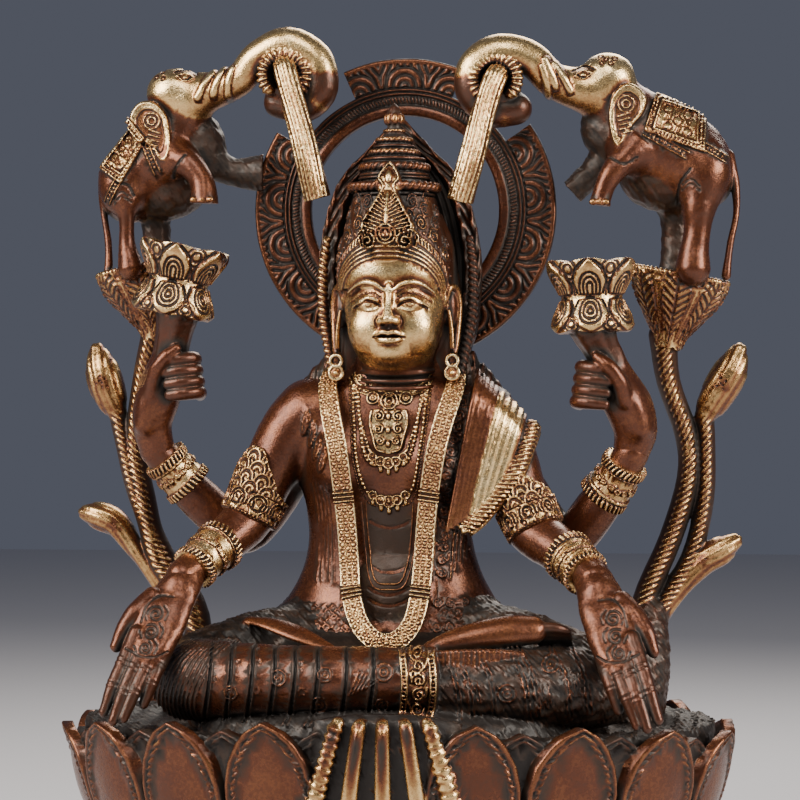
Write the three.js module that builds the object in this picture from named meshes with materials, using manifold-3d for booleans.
// Gaja Lakshmi in cast brass: the four-armed goddess seated cross-legged on a lotus throne,
// a pierced halo behind her head, and on each side a spray of lotus stems that carries an
// elephant pouring water from its trunk.
//
// Millimetres, +Z up, the goddess looks along -Y, -X is the viewer's left.
// The origin is the middle of the throne's underside.

import * as THREE from "three";
import { mergeVertices } from "three/addons/utils/BufferGeometryUtils.js";
import Module from "manifold-3d";

const wasm = await Module();
wasm.setup();

// Driving sizes of the goddess. Her pose is written in a grid of its own, which starts at the
// seat and has 340 steps up to the tip of the crown.
const FIGURE_HEIGHT = 340;
const UNIT = FIGURE_HEIGHT / 340;
const KNEE_REACH = 132 * UNIT; // middle to the outside of a knee
const SHIN_REACH = 98 * UNIT; // middle to the front of the crossed shins
const FINGERTIP_HEIGHT = 15 * UNIT; // lowered fingertips above the seat

// Driving sizes of the throne
const SIDE_MARGIN = 41; // knee to the edge of the seat
const FRONT_MARGIN = 20; // shin to the edge of the seat
const SEAT_HEIGHT = 130;
const WAIST_HEIGHT = 52;
const PLINTH_HEIGHT = 22;
const PETAL_COUNT = 18;
const PETAL_THICKNESS = 6;
const PLEAT_COUNT = 5;
const PLEAT_WIDTH = 8;

const BASE_WIDTH = 2 * (KNEE_REACH + SIDE_MARGIN);
const BASE_DEPTH = 2 * (SHIN_REACH + FRONT_MARGIN);

// Driving sizes of the halo
const HALO_OUTER_RADIUS = 85;
const HALO_INNER_RADIUS = 53;
const HALO_THICKNESS = 8;
const HALO_SIDES = 24;

// Clearance between pieces that touch
const FIT_GAP = 0.3;

const WHITE_BRONZE = { color: 0xc9a464, roughness: 0.32, metalness: 1 };
const BROWN_BRONZE = { color: 0x4a2415, roughness: 0.38, metalness: 1 };

const lerp = THREE.MathUtils.lerp;
const vec = (p) => new THREE.Vector3(p[0], p[1], p[2]);

// A closed geometry as a manifold solid with its faces turned outwards.
function solid(geometry) {
  const bare = new THREE.BufferGeometry();
  bare.setAttribute("position", geometry.getAttribute("position"));
  if (geometry.index) bare.setIndex(geometry.index);
  const merged = mergeVertices(bare, 1e-4);
  const triVerts = new Uint32Array(merged.index.array);
  const make = () =>
    new wasm.Manifold(
      new wasm.Mesh({ numProp: 3, vertProperties: merged.attributes.position.array, triVerts }),
    );
  const made = make();
  if (made.volume() > 0) return made;
  for (let i = 0; i < triVerts.length; i += 3) {
    [triVerts[i + 1], triVerts[i + 2]] = [triVerts[i + 2], triVerts[i + 1]];
  }
  return make();
}

const join = (solids) => solids.reduce((all, next) => all.add(next));

// A named mesh from a manifold solid.
function meshOf(name, made, finish) {
  const { numProp, vertProperties, triVerts } = made.getMesh();
  const positions = new Float32Array((vertProperties.length / numProp) * 3);
  for (let i = 0; i < positions.length / 3; i++) {
    positions.set(vertProperties.subarray(i * numProp, i * numProp + 3), i * 3);
  }
  const geometry = new THREE.BufferGeometry();
  geometry.setAttribute("position", new THREE.BufferAttribute(positions, 3));
  geometry.setIndex(new THREE.BufferAttribute(new Uint32Array(triVerts), 1));
  geometry.computeVertexNormals();
  const mesh = new THREE.Mesh(geometry, new THREE.MeshStandardMaterial(finish));
  mesh.name = name;
  return mesh;
}

// Closes a stack of rings, each with the same number of points, with a fan at each end.
function skin(rings, firstTip, lastTip) {
  const count = rings[0].length;
  const positions = [...rings.flat(), firstTip, lastTip].flatMap((p) => [p.x, p.y, p.z]);
  const index = [];
  const at = (ring, i) => ring * count + (i % count);
  for (let ring = 0; ring < rings.length - 1; ring++) {
    for (let i = 0; i < count; i++) {
      index.push(at(ring, i), at(ring, i + 1), at(ring + 1, i));
      index.push(at(ring, i + 1), at(ring + 1, i + 1), at(ring + 1, i));
    }
  }
  const first = rings.length * count;
  const top = rings.length - 1;
  for (let i = 0; i < count; i++) {
    index.push(first, at(0, i + 1), at(0, i));
    index.push(first + 1, at(top, i), at(top, i + 1));
  }
  const geometry = new THREE.BufferGeometry();
  geometry.setAttribute("position", new THREE.Float32BufferAttribute(positions, 3));
  geometry.setIndex(index);
  return solid(geometry);
}

// Shares of the radius that shape a limb's domed end.
const DOME_SHOULDER = 0.55;
const DOME_NARROWING = 0.8;
const DOME_REACH = 0.9;

// A limb through stations [x, y, z, radius]. wide is the direction in which the section is
// broader, by ratio. Ends are domed, or flat where blunt.
function limb(stations, { sides = 8, wide = [0, 1, 0], ratio = 1, blunt = false } = {}) {
  const curve = new THREE.CatmullRomCurve3(stations.map(vec), false, "centripetal");
  const last = stations.length - 1;
  const broad = vec(wide);
  // The ring at a station, moved on by out radii and scaled.
  const ringAt = (station, out, scale) => {
    const centre = curve.getPoint(station / last);
    const along = curve.getTangent(station / last);
    const radius = stations[station][3];
    const across = broad.clone().addScaledVector(along, -broad.dot(along)).normalize();
    const over = along.clone().cross(across);
    centre.addScaledVector(along, out * radius);
    const points = [];
    for (let i = 0; i < sides; i++) {
      const turn = (2 * Math.PI * i) / sides;
      points.push(
        centre
          .clone()
          .addScaledVector(across, Math.cos(turn) * radius * ratio * scale)
          .addScaledVector(over, Math.sin(turn) * radius * scale),
      );
    }
    return { centre, points };
  };
  const rings = stations.map((_, station) => ringAt(station, 0, 1).points);
  if (!blunt) {
    rings.unshift(ringAt(0, -DOME_SHOULDER, DOME_NARROWING).points);
    rings.push(ringAt(last, DOME_SHOULDER, DOME_NARROWING).points);
  }
  const reach = blunt ? 0 : DOME_REACH;
  return skin(rings, ringAt(0, -reach, 0).centre, ringAt(last, reach, 0).centre);
}

// A stack of level ovals [z, centre x, centre y, half width, half depth].
function stack(sections, sides = 12) {
  const rings = sections.map(([z, cx, cy, rx, ry]) =>
    Array.from({ length: sides }, (_, i) => {
      const turn = (2 * Math.PI * i) / sides;
      return new THREE.Vector3(cx + rx * Math.cos(turn), cy + ry * Math.sin(turn), z);
    }),
  );
  const tip = ([z, cx, cy]) => new THREE.Vector3(cx, cy, z);
  return skin(rings, tip(sections[0]), tip(sections.at(-1)));
}

function ball([x, y, z], [rx, ry, rz], tilt = [0, 0, 0], [round, high] = [10, 6]) {
  const geometry = new THREE.SphereGeometry(1, round, high);
  geometry.scale(rx, rz, ry);
  geometry.rotateX(Math.PI / 2);
  geometry.applyMatrix4(new THREE.Matrix4().makeRotationFromEuler(new THREE.Euler(...tilt)));
  geometry.translate(x, y, z);
  return solid(geometry);
}

// A body turned about Z from [radius, height] points. oval is its depth over its width.
function turned(profile, sides, oval = 1) {
  const points = profile.map(([radius, height]) => new THREE.Vector2(radius, height));
  const geometry = new THREE.LatheGeometry(points, sides);
  geometry.rotateX(Math.PI / 2);
  geometry.scale(1, oval, 1);
  return geometry;
}

// An outline in the XZ plane, given as [x, z] points, with a thickness along Y.
function plate(outline, front, thickness) {
  const shape = new THREE.Shape(outline.map(([x, z]) => new THREE.Vector2(x, z)));
  const geometry = new THREE.ExtrudeGeometry(shape, { depth: thickness, bevelEnabled: false });
  geometry.rotateX(Math.PI / 2);
  geometry.translate(0, front + thickness, 0);
  return solid(geometry);
}

function bar([x, y, z], [width, depth, height], tilt = [0, 0, 0]) {
  const geometry = new THREE.BoxGeometry(width, depth, height);
  geometry.applyMatrix4(new THREE.Matrix4().makeRotationFromEuler(new THREE.Euler(...tilt)));
  geometry.translate(x, y, z);
  return solid(geometry);
}

// The lotus throne

// Share of the base's half width and depth at which petals stand, from foot 0 to tip 1.
const petalReach = (share) => 0.8 + 0.25 * Math.sin((Math.PI / 2) * share ** 0.6);

// The band of the waist between the plinth and the feet of the petals.
const PETAL_FOOT = WAIST_HEIGHT * 1.04;
const WAIST_TOP = WAIST_HEIGHT * 0.88;

// Petals round the front and back stand a little higher than the splayed ones at the sides.
const petalTip = (turn) => SEAT_HEIGHT + FINGERTIP_HEIGHT * Math.abs(Math.cos(turn)) ** 1.2;

// Turns that space count points evenly along the oval, starting at the front.
function evenTurns(count) {
  const steps = 720;
  const lengths = [0];
  for (let i = 0; i < steps; i++) {
    const turn = (2 * Math.PI * (i + 0.5)) / steps;
    lengths.push(lengths[i] + Math.hypot(BASE_WIDTH * Math.cos(turn), BASE_DEPTH * Math.sin(turn)));
  }
  return Array.from({ length: count }, (_, i) => {
    const goal = (lengths[steps] * i) / count;
    return (2 * Math.PI * lengths.findIndex((length) => length >= goal)) / steps;
  });
}

// The throne is one skin of level rings. Each petal takes four columns: its midline, a
// shoulder on each side and the gap to the next, where the tip of a petal behind shows.
const PETAL_COLUMNS = 4;

function throneBody() {
  const turns = evenTurns(PETAL_COUNT * PETAL_COLUMNS);
  // Distance from the petal's midline 0 to the gap 1.
  const side = (i) => Math.abs(((i + 2) % PETAL_COLUMNS) - 2) / 2;
  const point = (turn, share, z, inset = 0) =>
    new THREE.Vector3(
      (share * (BASE_WIDTH / 2) - inset) * Math.sin(turn),
      -(share * (BASE_DEPTH / 2) - inset) * Math.cos(turn),
      z,
    );
  const plain = (share, z) => turns.map((turn) => point(turn, share, z));
  const petalRow = (height, groove) =>
    turns.map((turn, i) => {
      const z = lerp(PETAL_FOOT, petalTip(turn), height);
      return point(turn, petalReach(height) - 0.02 * side(i) ** 2, z, groove * side(i) ** 4);
    });
  // Height of the rim over a petal's foot at its midline, its shoulder and the gap.
  const rimHeight = [1, 0.95, 0.82];
  const rim = (inset) =>
    turns.map((turn, i) => {
      const height = rimHeight[2 * side(i)];
      const z = lerp(PETAL_FOOT, petalTip(turn), height);
      return point(turn, petalReach(height) - 0.05 * side(i) ** 4, z, inset);
    });
  const rings = [
    plain(1, 0),
    plain(1, PLINTH_HEIGHT * 0.55),
    plain(0.92, PLINTH_HEIGHT),
    plain(0.72, WAIST_TOP),
    petalRow(0, 0),
    petalRow(0.5, PETAL_THICKNESS * 0.8),
    rim(0),
    rim(PETAL_THICKNESS),
    plain(petalReach(1) - 0.15, SEAT_HEIGHT),
  ];
  return skin(rings, new THREE.Vector3(0, 0, 0), new THREE.Vector3(0, 0, SEAT_HEIGHT));
}

// The pleats of the sari that spread over the front of the lotus.
const PLEAT_CENTRE = 0.04;
const PLEAT_FAN = 0.28;
const PLEAT_SINK = 0.035;

function pleats() {
  return Array.from({ length: PLEAT_COUNT }, (_, i) => {
    const place = (2 * i) / (PLEAT_COUNT - 1) - 1;
    const stations = [0.15, 0.5, 0.92].map((share) => {
      const angle = PLEAT_CENTRE + place * PLEAT_FAN * lerp(1, 0.45, share);
      const out = petalReach(share) - PLEAT_SINK;
      return [
        out * (BASE_WIDTH / 2) * Math.sin(angle),
        -out * (BASE_DEPTH / 2) * Math.cos(angle),
        lerp(PETAL_FOOT, petalTip(0), share),
        PLEAT_WIDTH * lerp(0.75, 0.45, share),
      ];
    });
    return limb(stations, { sides: 4, wide: [1, 0, 0], blunt: true });
  });
}

const lotusThrone = () => join([throneBody(), ...pleats()]);

// The goddess. Positions are [x, y, z] in the pose's grid, with z from the seat.

// Level ovals [z, centre x, centre y, half width, half depth] from the lap to under the chin.
const TORSO = [
  [36, -5, 14, 88, 46],
  [56, -7, 14, 76, 40],
  [68, -5, 12, 57, 33],
  [92, -5, 9, 47, 27],
  [118, -6, 8, 46, 27],
  [146, -4, 6, 56, 29],
  [168, -2, 4, 62, 26],
  [183, -3, 3, 50, 20],
  [190, -2, 2, 26, 18],
  [208, 0, -4, 20, 19],
];

// Each arm as stations [x, y, z, radius], the viewer's left first. The sudden swellings are
// the armlets on the upper arms and the bangles on the wrists.
const ARMS = {
  frontLeft: [
    [-56, 2, 169, 19],
    [-65, 1, 152, 16],
    [-67, 0, 149, 19],
    [-81, -4, 118, 17],
    [-83, -5, 115, 13.5],
    [-98, -25, 95, 11.5],
    [-100, -28, 92, 13.5],
    [-107, -40, 83, 14],
    [-109, -43, 81, 9.5],
  ],
  frontRight: [
    [54, 2, 164, 19],
    [62, 0, 138, 16],
    [63, -1, 135, 18],
    [70, -6, 111, 16.5],
    [71, -8, 108, 13.5],
    [97, -26, 93, 11.5],
    [99, -28, 92, 13.5],
    [107, -40, 82, 14],
    [109, -43, 80, 9.5],
  ],
  backLeft: [
    [-56, 14, 162, 17],
    [-72, 22, 128, 15],
    [-90, 24, 102, 13],
    [-124, 12, 133, 11.5],
    [-127, 11, 136, 13.5],
    [-137, 5, 148, 13.5],
    [-138, 4, 151, 10],
  ],
  backRight: [
    [52, 14, 156, 17],
    [68, 22, 122, 15],
    [90, 24, 98, 12],
    [116, 12, 131, 12],
    [118, 11, 134, 14],
    [128, 4, 147, 14],
    [129, 3, 150, 10.5],
  ],
};

// A hand that hangs with its palm to the viewer. side is -1 on the viewer's left.
function loweredHand(side, [x, y, z]) {
  const at = (dx, dy, dz, radius) => [x + side * dx, y + dy, z + dz, radius];
  const palm = limb([at(0, 0, 0, 9.5), at(8, -16, -14, 11), at(14, -35, -38, 8.5)], {
    sides: 6,
    wide: [1, 0, 0],
    ratio: 1.5,
    blunt: true,
  });
  const fingers = [
    [24, -40, -39, 33, -50, -58],
    [19, -42, -41, 29, -53, -65],
    [13, -43, -41, 22, -54, -66],
    [6, -41, -40, 12, -51, -58],
  ].map(([bx, by, bz, tx, ty, tz]) =>
    limb([at(bx - 3, by + 8, bz + 10, 4.6), at(bx, by, bz, 4.4), at(tx, ty, tz, 2.6)], {
      sides: 4,
      blunt: true,
    }),
  );
  const thumb = limb([at(12, -12, -10, 6), at(30, -33, -34, 3)], {
    sides: 4,
    blunt: true,
  });
  return join([palm, thumb, ...fingers]);
}

// A raised hand closed round a thick stem, with the lotus on top of it.
function raisedHand(side, wrist, grip, flower, tilt) {
  const at = (share, inward, forward, radius) => [
    lerp(wrist[0], grip[0], share) - side * inward,
    lerp(wrist[1], grip[1], share) - forward,
    lerp(wrist[2], grip[2], share),
    radius,
  ];
  const back = limb([at(0, 0, 0, 9.5), at(0.45, -5, 0, 13), at(1.1, -3, 0, 9)], {
    sides: 7,
    ratio: 1.1,
    blunt: true,
  });
  const fingers = [0.42, 0.62, 0.82, 1].map((share) =>
    limb([at(share, -6, 10, 5.2), at(share, 7, 13, 5.2), at(share + 0.05, 14, 4, 4)], {
      sides: 4,
      blunt: true,
    }),
  );
  const stem = limb([[...grip, 9], [...flower, 10]], { sides: 6, blunt: true });
  const lotus = turned([[0, -18], [19, -17], [14, -1], [25, 17], [0, 24]], 12);
  lotus.rotateY(tilt);
  lotus.translate(...flower);
  return join([back, stem, solid(lotus), ...fingers]);
}

function head() {
  const skull = ball([0, -12, 225], [30, 31, 37], [0, 0, 0], [10, 6]);
  const jaw = ball([0, -20, 211], [24, 20, 18], [0, 0, 0], [8, 4]);
  const nose = limb([[0, -38, 236, 3], [0, -45, 222, 4.4]], { sides: 4, blunt: true });
  const lips = ball([0, -40, 212], [9, 4, 3.6], [0, 0, 0], [6, 2]);
  const ears = [-1, 1].map((side) =>
    limb([[side * 31, -8, 236, 4], [side * 33, -12, 214, 4.4], [side * 33, -15, 190, 4.4]], {
      sides: 4,
      blunt: true,
    }),
  );
  return join([skull, jaw, nose, lips, ...ears]);
}

// The crown: a brow band, a tall drum with three tiers, a bud on top and a leaf in front.
function crown() {
  const profile = [
    [0, 238], [31, 238], [32.5, 247], [27, 272], [22.5, 289], [24.5, 294], [18, 299],
    [18, 307], [13, 312], [8.5, 320], [4.5, 325], [5, 332], [0, 340],
  ];
  const drum = turned(profile, 10);
  drum.translate(-1, -9, 0);
  const leaf = limb([[-1, -41, 249, 9], [-1, -38, 270, 8], [-1, -30, 302, 1.4]], {
    sides: 6,
    wide: [1, 0, 0],
    ratio: 1.7,
    blunt: true,
  });
  return join([solid(drum), leaf]);
}

// The pointed arch behind the crown, with a raised rim, and the hair that falls to the shoulders.
function hood() {
  const half = [[38, 192], [44, 220], [44, 258], [36, 296], [13, 320], [2, 332]];
  const foot = half[0][1];
  const arch = (share) => {
    const right = half.map(([x, z]) => [x * share, foot + (z - foot) * share]);
    const left = right.map(([x, z]) => [-x, z]).reverse();
    return [...right, ...left];
  };
  const back = plate(arch(1), 6, 11);
  const recess = plate(arch(0.84), 0, 10);
  const hair = stack(
    [
      [170, 0, 12, 66, 13],
      [194, 0, 10, 53, 14],
      [206, 0, 8, 40, 16],
      [255, 0, 5, 34, 18],
    ],
    8,
  );
  const locks = [-1, 1].map((side) =>
    limb([[side * 40, 1, 260, 4], [side * 43, 0, 225, 5.5], [side * 35, -2, 188, 6]], {
      sides: 4,
      blunt: true,
    }),
  );
  return join([back.subtract(recess), hair, ...locks]);
}

// The long garland that hangs from behind the neck into the lap.
function garland() {
  const stations = [
    [-35, -8, 190, 4.2], [-33, -28, 156, 4.2], [-24, -26, 92, 4.2], [-16, -33, 62, 4.4],
    [-3, -36, 52, 4.6],
    [10, -33, 60, 4.4], [22, -26, 92, 4.2], [28, -28, 152, 4.2], [32, -8, 190, 4.2],
  ];
  return limb(stations, { sides: 4, wide: [1, 0.2, 0.6], ratio: 1.9, blunt: true });
}

// Folds of the sari's end over the shoulder on the viewer's right.
const FOLD_COUNT = 4;

function shoulderFolds() {
  const folds = Array.from({ length: FOLD_COUNT }, (_, i) => {
    const share = i / (FOLD_COUNT - 1);
    return limb(
      [
        [lerp(35, 55, share), lerp(2, 8, share), lerp(186, 179, share), 6],
        [lerp(39, 70, share), lerp(-22, -12, share), lerp(168, 164, share), 7],
        [lerp(40, 66, share), lerp(-27, -21, share), 140, 6],
        [lerp(38, 46, share), -24, lerp(112, 110, share), 4],
      ],
      { sides: 4, wide: [1, 0, 0], blunt: true },
    );
  });
  return join(folds);
}

const bosom = () =>
  join([-27, 22].map((x) => ball([x, -15, 144], [19, 15, 19], [0, 0, 0], [8, 4])));

// Crossed legs with a broad anklet on the near shin, and the feet drawn up on the thighs.
function legs() {
  const lap = stack(
    [
      [0, 0, -16, 114, 70],
      [16, 0, -14, 118, 74],
      [32, -1, -12, 112, 66],
      [50, -3, 2, 88, 38],
    ],
    14,
  );
  const nearShin = limb(
    [[-107, -38, 26, 25], [-66, -71, 26, 20], [-24, -78, 27, 19], [12, -78, 29, 17]],
    { wide: [0, 0, 1] },
  );
  const anklet = limb([[-2, -78, 28, 20], [11, -78, 28, 19.5]], { wide: [0, 0, 1], blunt: true });
  const farShin = limb([[107, -38, 26, 25], [62, -67, 23, 19], [20, -70, 21, 17]], { sides: 7 });
  const nearFoot = limb([[26, -76, 33, 12], [50, -72, 42, 10.5], [92, -58, 55, 5]], {
    sides: 6,
    ratio: 1.3,
  });
  const farFoot = limb([[-22, -46, 42, 9], [-50, -44, 48, 8], [-78, -38, 54, 4]], {
    sides: 6,
    ratio: 1.4,
  });
  return join([lap, nearShin, farShin, anklet, nearFoot, farFoot]);
}

// Scales a form from the pose's grid, stands it on the seat and trims what would sink into it.
function standOnSeat(form, side = 1) {
  const high = 2 * FIGURE_HEIGHT;
  const wide = 2 * BASE_WIDTH;
  return form
    .scale([side * UNIT, UNIT, UNIT])
    .intersect(bar([0, 0, high / 2], [wide, wide, high]))
    .translate([0, 0, SEAT_HEIGHT + FIT_GAP]);
}

function goddess() {
  return standOnSeat(
    join([
      stack(TORSO, 10),
      bosom(),
      legs(),
      head(),
      crown(),
      hood(),
      garland(),
      shoulderFolds(),
      ...Object.values(ARMS).map((arm) => limb(arm, { sides: 6 })),
      loweredHand(-1, ARMS.frontLeft.at(-1)),
      loweredHand(1, ARMS.frontRight.at(-1)),
      raisedHand(-1, [-137, 5, 149], [-123, -4, 192], [-120, -12, 242], 0.17),
      raisedHand(1, [128, 4, 148], [112, -4, 192], [107, -12, 232], -0.03),
    ]),
  );
}

// The halo: a moulded ring behind the head whose outer band stops short for the trunks.
const HALO_FRONT = 27 * UNIT;
const HALO_FOOT_HEIGHT = SEAT_HEIGHT + 199.5 * UNIT;
const NOTCH_SHARE = 0.5; // how far into the moulding the trunks' notches reach
const HALO_CENTRE_HEIGHT = HALO_FOOT_HEIGHT + HALO_OUTER_RADIUS;

// A disc as thick as the halo, or thicker by grow on each face.
function haloDisc(radius, grow = 0) {
  const depth = HALO_THICKNESS + 2 * grow;
  const disc = new THREE.CylinderGeometry(radius, radius, depth, HALO_SIDES);
  disc.translate(0, HALO_FRONT + HALO_THICKNESS / 2, HALO_CENTRE_HEIGHT);
  return disc;
}

// The sector of the outer band that makes way for a trunk, between two turns from the top.
function trunkNotch(side, from, to) {
  const edge = (turn, radius) => [
    side * radius * Math.sin(turn),
    HALO_CENTRE_HEIGHT + radius * Math.cos(turn),
  ];
  const keep = lerp(HALO_INNER_RADIUS, HALO_OUTER_RADIUS, NOTCH_SHARE);
  const far = HALO_OUTER_RADIUS * 1.3;
  const arc = [0, 0.5, 1].map((share) => edge(lerp(from, to, share), keep));
  const outline = [...arc, edge(to, far), edge(from, far)];
  return plate(outline, HALO_FRONT - HALO_THICKNESS, 3 * HALO_THICKNESS);
}

function halo() {
  const width = HALO_OUTER_RADIUS - HALO_INNER_RADIUS;
  const step = HALO_THICKNESS * 0.2;
  const across = (share) => HALO_INNER_RADIUS + width * share;
  const profile = [
    [across(0), step], [across(0.1), 0], [across(0.2), step], [across(0.34), step],
    [across(0.42), 0], [across(0.5), step], [across(1), step],
    [across(1), HALO_THICKNESS], [across(0), HALO_THICKNESS], [across(0), step],
  ];
  const ring = turned(profile, HALO_SIDES);
  ring.rotateX(-Math.PI / 2);
  ring.translate(0, HALO_FRONT, HALO_CENTRE_HEIGHT);
  return solid(ring)
    .subtract(trunkNotch(-1, 0.42, 1.02))
    .subtract(trunkNotch(1, 0.4, 0.98));
}

// The elephant sprays. Positions are [x, y, z, radius] in the pose's grid, for the spray on
// the viewer's right; the left one is its mirror with stations of its own.
const SPRAYS = {
  left: {
    root: [[122, 40, -2, 17], [122, 42, 35, 11]],
    stem: [
      [116, 44, -2, 8], [124, 44, 60, 7], [143, 45, 84, 6.5], [152, 45, 122, 6.5],
      [158, 44, 152, 6], [154, 40, 188, 6.5], [150, 36, 220, 9],
    ],
    budStem: [
      [118, 45, 2, 6], [120, 45, 54, 6], [138, 45, 84, 6], [156, 45, 122, 5.5],
      [164, 44, 154, 5], [169, 44, 172, 6],
    ],
    bud: [[168, 44, 170, 6], [175, 43, 187, 10.5], [180, 42, 200, 8], [182, 42, 208, 3]],
    lowBud: [
      [140, 46, 68, 5], [156, 46, 90, 5], [168, 46, 106, 7.5], [178, 46, 111, 8],
      [187, 46, 113, 4],
    ],
    pad: [154, 32, 248],
    body: [[158, 30, 292, 19], [150, 28, 302, 26], [132, 25, 320, 21], [124, 20, 334, 14]],
    head: [[122, 20, 342, 13], [133, 19, 353, 13]],
    trunk: [
      [120, 19, 344, 14], [98, 13, 351, 11], [86, 8, 356, 10], [76, 5, 370, 9.5],
      [61, 3, 375.5, 9.5], [46, 3, 367, 9.5], [43, 4, 351, 9.5], [53, 6, 339, 9],
      [68, 7, 341, 8],
    ],
    ear: [140, 8, 330],
    nearFore: [[128, 16, 316, 11], [114, 5, 304, 8], [107, 0, 289, 7.5]],
    farFore: [[124, 28, 316, 12], [107, 28, 310, 8], [92, 28, 308, 9.5]],
    nearHind: [[156, 26, 292, 15], [155, 24, 272, 9.5], [155, 24, 250, 9]],
    farHind: [[142, 38, 290, 13], [142, 40, 272, 8], [142, 38, 250, 8]],
    tail: [[174, 32, 300, 3.5], [176, 32, 272, 2.6], [173, 32, 247, 3]],
    lip: [61.5, -4, 357],
    stream: [[60, -8, 360, 6.5], [41, -13, 288, 7.5]],
  },
  right: {
    root: [[124, 36, -2, 20], [132, 38, 30, 16], [136, 42, 58, 10]],
    stem: [
      [122, 44, -2, 8], [132, 44, 60, 7], [148, 44, 100, 6.5], [158, 44, 134, 6.5],
      [158, 44, 158, 6.5], [149, 42, 188, 6.5], [144, 38, 220, 9],
    ],
    budStem: [
      [124, 44, 2, 6], [142, 46, 58, 6], [159, 46, 89, 5.5], [167, 45, 122, 5.5],
      [170, 44, 154, 5], [168, 44, 170, 6],
    ],
    bud: [[167, 44, 168, 6], [176, 43, 188, 10.5], [183, 42, 200, 8], [187, 42, 208, 3]],
    lowBud: [
      [140, 46, 54, 5], [154, 46, 73, 5], [166, 46, 87, 7.5], [175, 46, 93, 8],
      [184, 46, 99, 4],
    ],
    pad: [154, 32, 248],
    body: [[168, 30, 298, 20], [153, 28, 316, 28.5], [130, 25, 329, 22], [118, 21, 340, 16]],
    head: [[106, 20, 348, 15], [112, 20, 356, 15]],
    trunk: [
      [104, 19, 344, 16], [88, 13, 348, 12], [77, 8, 354, 10], [70, 5, 366, 9.5],
      [57, 3, 371.5, 9.5], [43, 3, 364, 9.5], [40, 4, 349, 9.5], [49, 6, 337, 9],
      [63, 7, 337, 8],
    ],
    ear: [124, 5, 331],
    nearFore: [[122, 14, 316, 12], [115, 5, 303, 8], [112, 0, 284, 8]],
    farFore: [[116, 28, 316, 12], [105, 28, 307, 8], [95, 28, 297, 9.5]],
    nearHind: [[166, 24, 294, 17], [168, 23, 272, 11], [165, 24, 250, 9.5]],
    farHind: [[152, 38, 290, 13], [152, 40, 272, 8], [151, 38, 250, 8]],
    tail: [[183, 32, 300, 3.5], [186, 32, 272, 2.6], [180, 32, 247, 3]],
    lip: [53, -4, 354],
    stream: [[56, -8, 356, 6.5], [37, -13, 286, 7.5]],
  },
};

function elephant(form) {
  const leg = { sides: 4, blunt: true };
  return join([
    limb(form.body, { sides: 7, ratio: 0.92 }),
    limb(form.head, { sides: 6 }),
    limb(form.trunk, { sides: 6, blunt: true }),
    ball(form.ear, [12, 5, 15], [0, -0.5, 0], [7, 3]),
    limb(form.tail, { sides: 4, blunt: true }),
    ...[form.nearFore, form.farFore, form.nearHind, form.farHind].map((path) => limb(path, leg)),
  ]);
}

// The mouth of the trunk, turned to the viewer, and the jet of water that falls from it.
function water({ lip: [x, y, z], stream }) {
  const mouth = limb([[x, y + 18, z, 11], [x, y - 3, z, 14]], { wide: [1, 0, 0], blunt: true });
  const jet = limb(stream, { sides: 5, wide: [1, 0, 0], blunt: true });
  return join([mouth, jet]);
}

function spray(side, form) {
  const pad = turned([[0, -30], [8, -30], [18, -10], [27, 0], [0, 3]], 12, 0.85);
  pad.translate(...form.pad);
  const stems = [form.root, form.stem, form.budStem, form.bud, form.lowBud];
  const grown = join([
    solid(pad),
    ...stems.map((path) => limb(path, { sides: 5, blunt: true })),
    elephant(form),
    water(form),
  ]);
  return standOnSeat(grown, side).subtract(solid(haloDisc(HALO_OUTER_RADIUS + FIT_GAP, FIT_GAP)));
}

const statue = new THREE.Group();
statue.add(
  meshOf("lotus_throne", lotusThrone(), BROWN_BRONZE),
  meshOf("lakshmi_figure", goddess(), BROWN_BRONZE),
  meshOf("halo", halo(), BROWN_BRONZE),
  meshOf("elephant_spray_left", spray(-1, SPRAYS.left), WHITE_BRONZE),
  meshOf("elephant_spray_right", spray(1, SPRAYS.right), WHITE_BRONZE),
);

export default statue;
